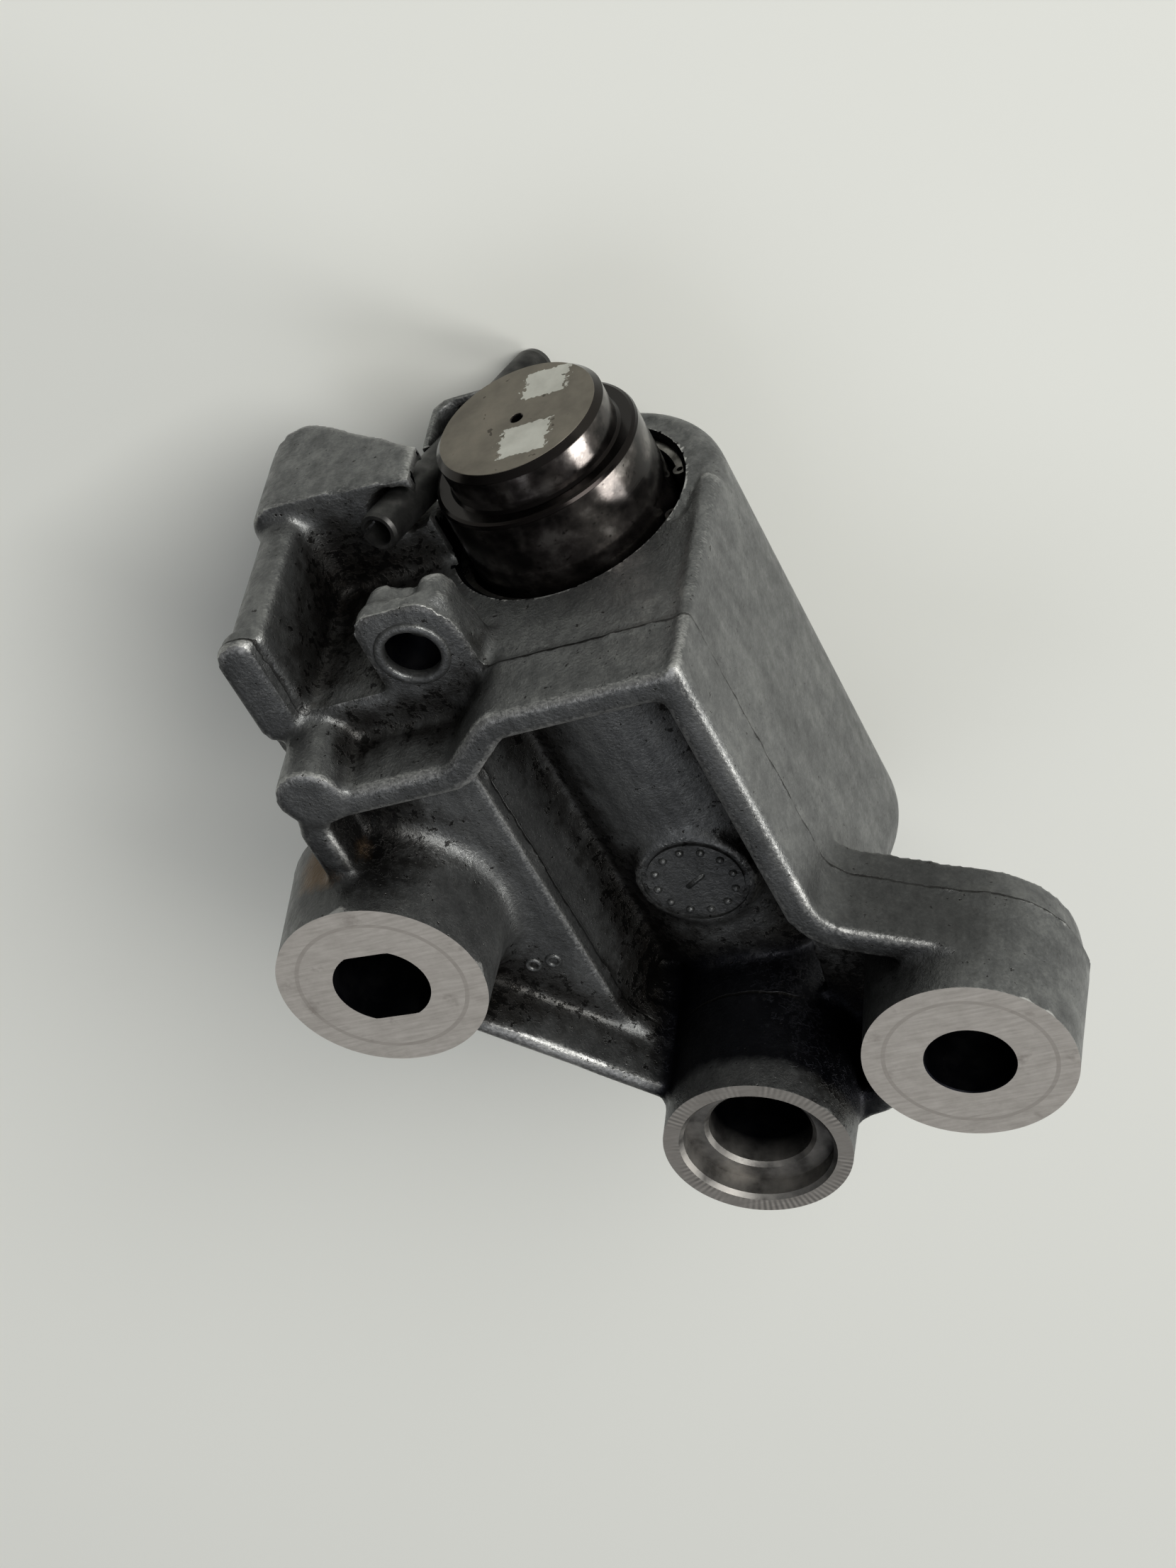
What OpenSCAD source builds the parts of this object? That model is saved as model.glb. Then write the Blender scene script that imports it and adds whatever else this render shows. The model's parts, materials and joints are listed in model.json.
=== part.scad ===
// Hydraulic timing chain tensioner: a die-cast body with a sprung, oil-fed plunger.
// Frame: the origin is the round bolt hole at the mounting face, +Z points out of that face
// and +Y is the way the plunger moves out. Inside the modules, places are counted from the oil
// port, which lies on the plunger's centre line.

/* [Mounting face] */
// Diameter of the two bolt bosses at the mounting face
boss_d = 16; // [14:0.5:19]
// Round bolt hole
bolt_d = 6.7; // [5.5:0.1:8]
// Flat-sided bolt hole, its long way
slot_d = 7.4; // [6.4:0.1:8.6]
// Flat-sided bolt hole, across its flats
slot_flats = 6.6; // [5.6:0.1:7.2]
// Turn of the flats
slot_turn = -5; // [-30:1:30]
// Length of the bolt bosses behind the mounting face
boss_h = 12.4; // [11.5:0.2:16]
// Growth of a boss's radius down to the parting plane
boss_draft = 0.4; // [0.2:0.1:1]
// Round bolt hole, to the right of the plunger's centre line
bolt_x = 18.4; // [16:0.2:22]
// Round bolt hole, ahead of the oil port
bolt_y = 5; // [2:0.2:8]
// Flat-sided bolt hole, to the left of the plunger's centre line
slot_x = 20.5; // [19:0.1:24]
// Flat-sided bolt hole, ahead of the oil port
slot_y = 24.7; // [22:0.1:27]

/* [Oil port] */
// Outside of the oil port at the mounting face
port_d = 14.6; // [13:0.2:18]
// Seal recess in the port
port_seat_d = 11.5; // [10:0.1:12.5]
// Depth of the seal recess
port_seat_h = 1.8; // [1:0.1:3]
// Bore of the oil port
port_bore = 8; // [5:0.1:9]
// Oil port, to the left of the plunger's centre line
port_x = 0.5; // [0:0.1:1.5]
// Cross drilling from the port to the check valve
feed_d = 3; // [2:0.1:4]
// Growth of the port's radius down to its foot
port_draft = 0.9; // [0.2:0.1:1.5]

/* [Barrel] */
// Plunger axis behind the mounting face
axis_drop = 24.8; // [23:0.2:28]
// Outside of the barrel
barrel_d = 24; // [23:0.2:28]
// Closed end of the barrel, ahead of the oil port
barrel_rear = 5.9; // [4.5:0.1:7]
// Open end of the barrel, ahead of the oil port
barrel_front = 44.2; // [42:0.1:50]
// Widened mouth round the plunger
mouth_d = 18.1; // [17.6:0.1:19.4]
// Depth of the widened mouth
mouth_h = 4.5; // [3:0.1:7]
// Rounding of the barrel's open end
mouth_round = 1.7; // [0.8:0.1:2.2]
// Height of the border along the end wall's outer edge
border_h = 0.3; // [0.25:0.05:0.6]
// Width of that border
border_w = 1.3; // [1.2:0.1:2]
// Bottom of the plunger bore, ahead of the barrel's closed end
bore_floor = 6.1; // [5:0.1:8]
// Pocket for the valve seat, measured across
valve_d = 11.2; // [9:0.1:13]
// Depth of that pocket
valve_h = 3; // [2:0.1:4]

/* [Open recess] */
// Rim of the recess below the mounting face
rim_drop = 3.4; // [2:0.1:5]
// Thickness of the rim walls
wall_t = 2.3; // [1.8:0.1:3.2]
// Thickness of the low wall from the flat-sided boss to the port
low_wall_t = 1.5; // [1.2:0.1:2.5]
// Middle of the right wall, from the plunger's centre line
wall_x = 10.4; // [9.6:0.1:11.2]
// Floor beside the flat-sided boss, below the mounting face
floor_drop = 8; // [6:0.1:10]
// Thickness of that floor
floor_t = 3.2; // [2.4:0.1:4.4]
// Edge of that floor, from the plunger's centre line
floor_edge = 9.2; // [8:0.1:10.5]
// Rounding where a boss stands on a floor
foot_r = 1.6; // [0.6:0.1:2.4]
// Bend of the right wall into the arm
bend_r = 4.5; // [3:0.1:6]
// Round pad with ring in the recess
pad_d = 9.4; // [7:0.1:11]
// Place of that pad, ahead of the oil port
pad_y = 16.9; // [14:0.1:26]

/* [Side bracket] */
// Flat table of the bracket below the mounting face
table_drop = 9.25; // [8.6:0.05:11]
// Shelf of the bracket below the mounting face
shelf_drop = 22.5; // [20:0.1:24]
// Outer side of the bracket, from the plunger's centre line
bracket_x = 22.4; // [21:0.1:26]
// Thickness of the bracket's side wall
bracket_wall = 3.9; // [2.6:0.1:5]
// Thickness of the wall that closes the bracket towards the bosses
table_wall = 3.6; // [2.6:0.1:4.4]
// Reach of the bracket past the barrel's open end
bracket_reach = 8.2; // [6.5:0.1:11]
// Hole in the ear
ear_hole = 4.2; // [3:0.1:5]
// Thickness of the ear
ear_t = 1.5; // [1.2:0.1:2.4]
// Length of the boss behind that hole
ear_boss = 2.7; // [2:0.1:3.6]
// Width of the ear
ear_w = 7.6; // [7:0.1:8.6]
// Middle of the ear, from the plunger's centre line
ear_x = 8.7; // [8:0.1:9.6]

/* [Plunger] */
// Diameter of the plunger's body
plunger_d = 16; // [15:0.1:16.6]
// Radial running clearance of the plunger in its bore
bore_gap = 0.03; // [0.02:0.01:0.08]
// Diameter of the plunger's head
head_d = 13.2; // [11:0.1:14]
// Flat end of the head
face_d = 12.2; // [9:0.1:13]
// Length of the head
head_h = 3.2; // [2:0.1:4]
// Reach of the plunger out of the barrel
plunger_out = 9.1; // [7:0.1:12]
// Length of the plunger
plunger_l = 33.3; // [29:0.1:35]
// Hollow of the plunger
hollow_d = 11.6; // [10:0.1:12.6]
// Solid end of the plunger
plunger_end = 7.3; // [5:0.1:9]
// Bleed hole in the middle of the end face
bleed_d = 0.9; // [0.5:0.1:1.6]

/* [Springs and valve] */
// Wire of the main spring
coil_wire = 1.3; // [0.9:0.05:1.6]
// Turns of the main spring
coil_turns = 10; // [6:1:13]
// Clearance between the main spring and the plunger's hollow
coil_gap = 0.25; // [0.15:0.05:0.5]
// Diameter of the check ball
ball_d = 4; // [3:0.1:5]
// Hole in the valve seat
seat_hole = 2.9; // [2:0.1:3]
// Lift of the check ball
ball_lift = 0.8; // [0.4:0.1:1.2]
// Sheet of the valve cage
cage_t = 0.7; // [0.5:0.1:1]
// Wire of the valve spring
valve_wire = 0.35; // [0.25:0.05:0.5]

/* [Ring and pin] */
// Thickness of the snap ring in the mouth
ring_t = 0.9; // [0.6:0.05:1]
// Width of the snap ring's band
ring_band = 0.75; // [0.5:0.05:1]
// Eye at each end of the snap ring, outside
ring_eye = 1.1; // [0.8:0.05:1.15]
// Depth of the snap ring behind the barrel's end
ring_y = 1.6; // [1.2:0.1:2.4]
// Gap between the ends of the snap ring, as an angle
ring_open = 34; // [20:1:60]
// Diameter of the spring pin
pin_d = 3.1; // [2.5:0.1:3.6]
// Sheet of the spring pin
pin_t = 0.45; // [0.3:0.05:0.7]
// Slit of the spring pin
pin_slit = 0.5; // [0.3:0.05:0.8]
// Length of the spring pin
pin_l = 24.7; // [22:0.1:28]
// Part of the pin in front of the plunger's axis
pin_front = 8.5; // [7:0.1:11]
// Gap between the pin and the plunger
pin_gap = 0.2; // [0.15:0.05:0.5]
// Lean of the pin along the plunger
pin_lean = 11; // [0:0.5:16]
// Roll of the pin round the plunger
pin_roll = 16.7; // [8:0.1:24]
// Pin beside the plunger, ahead of the barrel's end
pin_y = 4.6; // [3.6:0.1:5.4]

/* [Hidden] */
$fn = 64;
eps = 0.01;
barrel_r = barrel_d / 2;
bore_r = plunger_d / 2 + bore_gap;
mouth_r = mouth_d / 2;
floor_y = barrel_rear + bore_floor;
face_y = barrel_front + plunger_out;
rear_y = face_y - plunger_l;
wall_in = wall_x - wall_t / 2;
wall_out = wall_x + wall_t / 2;
bracket_y = barrel_front + bracket_reach;
table_y = barrel_front - table_wall;
part_z = -table_drop;
valve_y = floor_y - valve_h;
cage_in = ball_d / 2 + 1.3;
cage_out = cage_in + cage_t;
cage_h = ball_d + ball_lift + 1.2;
cage_rim = bore_r - 0.3;
ball_y = floor_y + sqrt(pow(ball_d / 2, 2) - pow(seat_hole / 2, 2)) + 0.005;
coil_r = hollow_d / 2 - coil_gap - coil_wire / 2;
coil_y0 = floor_y + cage_t;
coil_y1 = face_y - plunger_end;
ring_r = mouth_r + 0.2;
pin_r = plunger_d / 2 + pin_gap + pin_d / 2;
collar_t = 0.9;
collar_r = mouth_r + 0.5;
collar_z = -axis_drop - barrel_r + 1.6;
ear_y = barrel_front + 2.6;
arm_y = bolt_y + boss_d / 2 + 7;
side_y = table_y - wall_t / 2;
end_y = barrel_front - wall_t / 2 - 0.05;
low_a = [-slot_x + 0.9, slot_y - boss_d / 2 + 0.7];
low_b = [-port_x - port_d / 2 + 2.8, port_d * 0.15];
// outer side of the right wall at a depth below the mounting face
function wall_flare(d) = wall_out + (barrel_r - wall_out) * (d - rim_drop) / (axis_drop - rim_drop);

// points of an arc round c
function arc(c, r, a0, a1, n = 8) = [for (k = [0 : n]) let (a = a0 + (a1 - a0) * k / n)
    c + r * [cos(a), sin(a)]];
// one rounded corner of a profile
function corner(a, p, b, r, n) = r <= 0 ? [p] :
    let (u = (a - p) / norm(a - p), v = (b - p) / norm(b - p), h = acos(u * v) / 2,
         c = p + (u + v) / norm(u + v) * r / sin(h),
         s = p + u * r / tan(h) - c, e = p + v * r / tan(h) - c,
         a0 = atan2(s.y, s.x), d = (atan2(e.y, e.x) - a0 + 540) % 360 - 180)
    arc(c, r, a0, a0 + d, n);
// a profile with its corners rounded, each by its own radius
function rounded(pts, rads, n = 5) = let (m = len(pts))
    [for (i = [0 : m - 1]) each corner(pts[(i + m - 1) % m], pts[i], pts[(i + 1) % m], rads[i], n)];
// a line of points with its inner corners rounded
function bent(pts, r, n = 5) = let (m = len(pts) - 1)
    [for (i = [0 : m]) each i == 0 || i == m ? [pts[i]] : corner(pts[i - 1], pts[i], pts[i + 1], r, n)];
// a line of points moved sideways, with mitred corners
function side(pts, d) = let (m = len(pts) - 1) [for (i = [0 : m])
    let (a = pts[max(i, 1)] - pts[max(i, 1) - 1], b = pts[min(i, m - 1) + 1] - pts[min(i, m - 1)],
         u = a / norm(a), v = b / norm(b))
    pts[i] + d * [-u.y - v.y, u.x + v.x] / (1 + u * v)];
// a tube swept along a coil, as points and faces
function coil_points(r, w, y0, y1, turns, n, k) = [for (i = [0 : turns * n])
    let (t = i / (turns * n), a = 360 * turns * t,
         y = y0 + w / 2 + (y1 - y0 - w) * coil_rise(t, turns))
    for (j = [0 : k - 1]) let (b = 360 * j / k, q = r + w / 2 * cos(b))
        [q * cos(a), q * sin(a), y + w / 2 * sin(b)]];
// the first and last turns lie nearly flat
function coil_rise(t, turns) = let (e = 1 / turns, s = 0.3 * e)
    t < e ? s * t / e : t > 1 - e ? 1 - s * (1 - t) / e : s + (1 - 2 * s) * (t - e) / (1 - 2 * e);
function coil_faces(m, k) = concat([[for (j = [0 : k - 1]) j]],
    [for (i = [0 : m - 2]) for (j = [0 : k - 1])
        [i * k + j, (i + 1) * k + j, (i + 1) * k + (j + 1) % k, i * k + (j + 1) % k]],
    [[for (j = [k - 1 : -1 : 0]) (m - 1) * k + j]]);

// everything is placed from the round bolt hole
module placed() { translate([-bolt_x, -bolt_y, 0]) children(); }
// local z runs along the plunger from y, towards its free end
module on_axis(y) { translate([0, y, -axis_drop]) rotate([-90, 0, 0]) children(); }
// a profile drawn in x and z, pulled along y
module along_y(y0, y1) { translate([0, y1, 0]) rotate([90, 0, 0]) linear_extrude(y1 - y0) children(); }
// a profile drawn in x and y, between two heights
module upright(z0, z1) { translate([0, 0, z0]) linear_extrude(z1 - z0) children(); }
// outline of a wall that follows a line of points
module run(pts, t) {
    far = side(pts, -t / 2);
    polygon(concat(side(pts, t / 2), [for (i = [len(far) - 1 : -1 : 0]) far[i]]));
}
// hollow rounding round the foot of a boss
module foot(r, f) {
    rotate_extrude() translate([r - 0.3, 0]) difference() {
        square([f + 0.3, f]);
        translate([f + 0.3, f]) circle(f);
    }
}
module spring_coil(r, w, y0, y1, turns, n, k) {
    on_axis(0) polyhedron(coil_points(r, w, y0, y1, turns, n, k), coil_faces(turns * n + 1, k));
}
// line of the spring pin: local z runs towards its front end
module on_pin() {
    translate([-pin_r * cos(pin_roll), barrel_front + pin_y, -axis_drop - pin_r * sin(pin_roll)])
        rotate([-pin_lean, -pin_roll, 0]) children();
}

module barrel() {
    on_axis(barrel_rear) rotate_extrude()
        polygon(concat([[0, 0]], arc([barrel_r - 2, 2], 2, -90, 0, 5),
            arc([barrel_r - mouth_round, barrel_front - barrel_rear - mouth_round], mouth_round, 0, 90, 5),
            [[0, barrel_front - barrel_rear]]));
}

// bolt boss with draft to the parting plane and back again
module bolt_boss(x, y) {
    translate([x, y, 0]) rotate_extrude() let (r = boss_d / 2)
        polygon([[0, 0], [r - 0.2, 0], [r, -0.2], [r + boss_draft, part_z],
            [r - boss_draft, -boss_h], [0, -boss_h]]);
}

// column that carries the oil port down to the closed end of the barrel
module port_column() {
    h = axis_drop + port_bore / 2 + 3.4;
    r = port_d / 2 + port_draft;
    translate([-port_x, 0, 0]) rotate_extrude()
        polygon(concat([[0, 0], [port_d / 2 - 0.3, 0], [port_d / 2, -0.3]],
            arc([r - 3, -h + 3], 3, 0, -90, 5), [[0, -h]]));
}

// end wall and right wall, which flare into the barrel, with a proud border at the corner between them
module deep_walls() {
    left = -wall_t * 1.5;
    border_x = barrel_r - border_w;
    border_y = barrel_front + border_h;
    intersection() {
        along_y(arm_y - 1, border_y + eps) polygon(rounded([[left, -rim_drop], [wall_out, -rim_drop],
            [barrel_r, -axis_drop], [-barrel_r, -axis_drop], [-barrel_r + 3, part_z - 2], [left, part_z - 2]],
            [0, 0.9, 0, 0, 0, 0]));
        upright(-axis_drop, 0) polygon(rounded([[-barrel_r - 1, table_y + 1.2], [wall_in, table_y + 1.2],
            [wall_in, arm_y - 2], [barrel_r, arm_y - 2], [barrel_r, border_y], [border_x, border_y],
            [border_x, barrel_front], [-barrel_r - 1, barrel_front]],
            [0, 0, 0, 0, 1, 0.1, 0.1, 0]));
    }
    along_y(barrel_rear + 2.4, arm_y) polygon([[wall_in, -boss_h + 1], [wall_flare(boss_h - 1), -boss_h + 1],
        [barrel_r, -axis_drop], [wall_in - 1, -axis_drop]]);
}

// arm that bends out of the right wall and runs on to the side of the round-hole boss
module arm() {
    turn = 63;
    foot_z = -boss_h + 0.4;
    bend = arc([wall_x + bend_r, arm_y], bend_r, 180, 180 + turn, 6);
    end = [bolt_x, bolt_y] + (boss_d - wall_t) / 2 * [cos(turn), sin(turn)];
    upright(foot_z, -rim_drop) run(concat([[wall_x, arm_y + 3]], bend, [end]), wall_t);
    upright(foot_z + 0.2, foot_z + floor_t / 2) polygon(concat([[wall_in - 1, arm_y], [wall_x, arm_y]], bend,
        [end, [bolt_x, bolt_y - boss_d / 2 + 1], [port_d / 2 - 2, -port_d / 2 + 2.6],
        [port_d / 2 - 1.6, 1.5]]));
    upright(foot_z - 0.2, -rim_drop - 1.6) run([[port_d / 2 - 2.4, -3.4],
        [bolt_x - 1.9, bolt_y - boss_d / 2 + 2.1]], wall_t * 1.15);
}

// outline of the floor beside the flat-sided boss
module floor_outline() {
    polygon([[-floor_edge + 0.4, table_y - 0.2], [-slot_x - wall_t / 2, table_y - 0.2],
        [-slot_x - wall_t / 2, slot_y], low_a, low_b, [-floor_edge + 0.4, 8.6]]);
}

// floor beside the flat-sided boss, with the wall that falls from it to the barrel
module side_floor() {
    upright(-floor_drop - floor_t, -floor_drop) floor_outline();
    intersection() {
        translate([-slot_x, slot_y, -floor_drop]) foot(boss_d / 2 + boss_draft, foot_r);
        upright(-floor_drop - 1, -rim_drop) floor_outline();
    }
    fall_x = -floor_edge - 2.4;
    along_y(barrel_rear + 1.4, table_y - 0.1) polygon(concat([[fall_x, -floor_drop - floor_t + 0.3],
        [fall_x, -floor_drop - 0.05]], arc([-floor_edge - 0.6, -floor_drop - 1.05], 1, 90, 15, 4),
        arc([-floor_edge + 4.2, -axis_drop + barrel_r - 0.6], 2.4, 195, 262, 4),
        [[0, -axis_drop], [-barrel_r + 1, -axis_drop + 6]]));
}

// rim walls at the left: up from the flat-sided boss, round the knob and over to the end wall,
// and the low wall from that boss to the oil port
module left_rim() {
    knob_h = table_drop + 2.8 - rim_drop;
    line = [[-slot_x + 0.2, slot_y + boss_d / 2 - 1.4], [-slot_x + 0.2, side_y],
        [-floor_edge + 1.6, side_y], [-wall_t * 1.5, end_y], [0, end_y]];
    upright(part_z - 2.2, -rim_drop) run(bent(line, wall_t), wall_t);
    translate([-slot_x + 1.6, side_y + 1.4, part_z - 2.6]) cylinder(h = knob_h, d = wall_t * 2.2);
    upright(-floor_drop - floor_t + 0.2, -rim_drop) run([low_a, low_b], low_wall_t);
    upright(-axis_drop + 6, -rim_drop - 0.2) run([low_a + 0.55 * (low_b - low_a), low_b], low_wall_t - 0.1);
}

// side bracket: the wall that closes it towards the bosses, the side wall and the shelf
module bracket() {
    outer = bracket_x + 0.4;
    inner = bracket_x - bracket_wall;
    shelf_y = bracket_y + 0.8;
    shelf_in = mouth_r - 1.2;
    bar_in = inner + 0.9;
    foot_c = [-inner + foot_r - 0.03, -shelf_drop + foot_r - 0.03];
    along_y(table_y, barrel_front - 0.2) polygon([[-bracket_x, part_z], [-wall_t, part_z],
        [-wall_t, -axis_drop], [-bracket_x, -shelf_drop - 4]]);
    // side wall with a round end, the rounding along its foot and the raised bar on it
    upright(-shelf_drop - 1, part_z - 0.2) polygon(rounded([[-bracket_x, table_y + 0.1],
        [-inner, table_y + 0.1], [-inner, bracket_y - 0.7], [-bracket_x, bracket_y - 0.7]], [0, 0, 0.8, 2.4]));
    along_y(table_y + 0.4, bracket_y - 1.6) polygon(concat([[-inner - 0.5, -shelf_drop - 0.5]],
        [[foot_c.x, -shelf_drop - 0.5]], arc(foot_c, foot_r, 270, 180, 5), [[-inner - 0.5, foot_c.y]]));
    upright(part_z - 1.2, part_z + 0.8) polygon(rounded([[-bracket_x - 0.1, table_y + 2],
        [-bar_in, table_y + 2], [-bar_in, bracket_y - 0.5], [-bracket_x - 0.1, bracket_y - 0.5]],
        [0.9, 0.5, 0.7, 1.6]));
    // shelf: a wedge in front view, with a round corner in plan
    intersection() {
        along_y(table_y + 0.2, shelf_y) polygon(rounded([[-outer, -shelf_drop], [-shelf_in, -shelf_drop],
            [-shelf_in, -shelf_drop - 3.2], [-bracket_x + 3.4, -shelf_drop - 9.8], [-outer, -shelf_drop - 8]],
            [1.2, 0, 1, 2.4, 1.6]));
        upright(-axis_drop - barrel_r, -shelf_drop + 1) polygon(rounded([[-outer, table_y + 0.2],
            [0, table_y + 0.2], [0, shelf_y - 1.6], [-bracket_x + 5, shelf_y], [-outer, shelf_y]],
            [0, 0, 0, 1, 3.2]));
    }
}

// ear beside the plunger: a flange, the boss behind its hole, and a round rib on each side of that boss
module ear() {
    back = part_z - ear_t;
    outer = -ear_x - ear_w * 0.45;
    inner = -ear_x + ear_w * 0.55;
    tip = bracket_y - 1.4;
    rib_d = 2.6;
    rib_tip = [inner - 1.6, tip - 1.7];
    upright(back, part_z) polygon(rounded([[outer, table_y + 0.3], [inner + 0.4, table_y + 0.3],
        [inner, barrel_front + 4.2], [inner - 1.6, tip], [outer, tip]], [0, 0, 1.5, 2, 1.8]));
    translate([-ear_x, ear_y, back - ear_boss]) cylinder(h = ear_boss + 0.5, d = ear_hole + 1.6);
    translate([outer + 1.9, tip - 1.8, back - ear_boss + 0.3])
        cylinder(h = ear_boss, d1 = rib_d, d2 = rib_d + 0.6);
    translate([rib_tip.x, rib_tip.y, back - ear_boss + 0.4]) cylinder(h = ear_boss, d = rib_d + 0.2);
    upright(back - ear_boss + 0.6, back + 0.3) run([rib_tip, [inner - 0.6, barrel_front - 1]], rib_d);
}

// collar that holds the spring pin at the far side of the barrel
module pin_collar() {
    outer = collar_r + collar_t;
    top = -axis_drop - 4;
    along_y(table_y - 2, barrel_front + 5.8) polygon(rounded([[-outer, top], [0, top], [0, collar_z],
        [-outer, collar_z]], [0, 0, 1, 2]));
}

module housing() color([0.55, 0.55, 0.54]) placed() difference() {
    union() {
        barrel();
        port_column();
        bolt_boss(bolt_x, bolt_y);
        bolt_boss(-slot_x, slot_y);
        deep_walls();
        arm();
        side_floor();
        left_rim();
        bracket();
        ear();
        pin_collar();
        translate([0, pad_y, -axis_drop + barrel_r - 2]) cylinder(h = 2.3, d = pad_d);
    }
    // bolt holes
    translate([bolt_x, bolt_y, -boss_h - 1]) cylinder(h = boss_h + 2, d = bolt_d);
    translate([-slot_x, slot_y, -boss_h - 1]) rotate(slot_turn) linear_extrude(boss_h + 2) intersection() {
        circle(d = slot_d);
        square([slot_d + 1, slot_flats], center = true);
    }
    // oil port, its seal recess and the drilling to the valve
    translate([-port_x, 0, -axis_drop - port_bore / 2])
        cylinder(h = axis_drop + port_bore / 2 + 1, d = port_bore);
    translate([-port_x, 0, -port_seat_h]) cylinder(h = port_seat_h + 1, d = port_seat_d);
    on_axis(0) cylinder(h = valve_y + eps, d = feed_d);
    // stepped plunger bore, ring groove and the clear way of the plunger past the bracket
    on_axis(valve_y) cylinder(h = valve_h + eps, d = valve_d);
    on_axis(floor_y) cylinder(h = barrel_front, r = bore_r);
    on_axis(barrel_front - mouth_h) cylinder(h = mouth_h + bracket_reach + 4, r = mouth_r);
    on_axis(barrel_front - ring_y - 0.02) cylinder(h = ring_t + 0.04, r = ring_r + 0.02);
    // ear hole with its small chamfer
    translate([-ear_x, ear_y, part_z - ear_t - ear_boss - 1])
        cylinder(h = ear_t + ear_boss + 2, d = ear_hole);
    translate([-ear_x, ear_y, part_z - 0.3]) cylinder(h = 0.4, d1 = ear_hole, d2 = ear_hole + 0.8);
    // ring round the pad
    translate([0, pad_y, -axis_drop + barrel_r - 0.05]) difference() {
        cylinder(h = 1, d = pad_d - 1);
        translate([0, 0, -1]) cylinder(h = 1.25, d = pad_d - 1.9);
    }
    // hollow in the collar, the pin's seat in it and the groove that lets the pin in
    along_y(barrel_front + 3.4, barrel_front + 7) polygon(rounded([[-collar_r, -axis_drop - 4.8],
        [-collar_t, -axis_drop - 4.8], [-collar_t, collar_z + collar_t], [-collar_r, collar_z + collar_t]],
        [0, 0, 0.6, 1.4]));
    on_pin() translate([0, 0, -pin_l]) cylinder(h = pin_l + pin_front, d = pin_d);
    on_pin() translate([0, 0, -1]) cylinder(h = pin_front + 6, d = pin_d + 1);
}

module plunger() color([0.42, 0.41, 0.39]) placed() difference() {
    on_axis(rear_y) rotate_extrude() let (l = plunger_l, r = plunger_d / 2, h = head_d / 2, f = face_d / 2)
        polygon([[0, 0], [r - 0.5, 0], [r, 0.5], [r, l - head_h - 0.3], [r - 0.3, l - head_h],
            [h, l - head_h], [h, l - h + f], [f, l], [0, l]]);
    on_axis(rear_y - 1) cylinder(h = plunger_l - plunger_end + 1, d = hollow_d);
    on_axis(rear_y) cylinder(h = plunger_l + 1, d = bleed_d);
}

module plunger_spring() color([0.5, 0.5, 0.5]) placed()
    spring_coil(coil_r, coil_wire, coil_y0, coil_y1, coil_turns, 20, 7);

// the two ends of the snap ring
module at_ring_ends() {
    for (s = [-1, 1]) rotate(s * ring_open / 2) translate([ring_r - ring_eye / 2, 0]) children();
}

module snap_ring() color([0.35, 0.34, 0.33]) placed()
    on_axis(barrel_front - ring_y) linear_extrude(ring_t) difference() {
        union() {
            difference() {
                circle(ring_r);
                circle(ring_r - ring_band);
                polygon([[0, 0], for (s = [-0.5, 0.5]) 2 * ring_r * [cos(s * ring_open), sin(s * ring_open)]]);
            }
            at_ring_ends() circle(d = ring_eye);
        }
        at_ring_ends() circle(d = ring_eye * 0.45);
    }

module spring_pin() color([0.5, 0.5, 0.49]) placed() on_pin() translate([0, 0, pin_front - pin_l])
    difference() {
        rotate_extrude() let (r = pin_d / 2) polygon([[r - pin_t, 0], [r - 0.2, 0], [r, 0.6],
            [r, pin_l - 0.3], [r - 0.15, pin_l], [r - pin_t, pin_l]]);
        translate([-pin_d, -pin_slit / 2, -1]) cube([pin_d, pin_slit, pin_l + 2]);
    }

module valve_seat() color([0.6, 0.6, 0.6]) placed() on_axis(valve_y) difference() {
    cylinder(h = valve_h, d = valve_d);
    translate([0, 0, -1]) cylinder(h = valve_h + 2, d = seat_hole);
}

module valve_cage() color([0.62, 0.58, 0.42]) placed() on_axis(floor_y) difference() {
    rotate_extrude() polygon([[cage_in, 0], [cage_rim, 0], [cage_rim, cage_t], [cage_out, cage_t],
        [cage_out, cage_h], [seat_hole / 2, cage_h], [seat_hole / 2, cage_h - cage_t],
        [cage_in, cage_h - cage_t]]);
    for (a = [0 : 90 : 270]) rotate(a) translate([0, 0, cage_h * 0.5]) rotate([0, 90, 0])
        cylinder(h = cage_out + 1, d = 1.6);
}

module check_ball() color([0.7, 0.7, 0.7]) placed() on_axis(ball_y) sphere(d = ball_d);

module valve_spring() color([0.6, 0.6, 0.6]) placed()
    spring_coil(seat_hole / 2 + valve_wire, valve_wire, ball_y + ball_d / 2 * 0.75, floor_y + cage_h - cage_t,
        3, 16, 6);

housing();
plunger();
plunger_spring();
snap_ring();
spring_pin();
valve_seat();
valve_cage();
check_ball();
valve_spring();
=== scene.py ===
import json
import math
import bmesh
import bpy
import numpy as np
from mathutils import Matrix, Vector, noise
from mathutils.bvhtree import BVHTree
from mathutils.kdtree import KDTree


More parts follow.
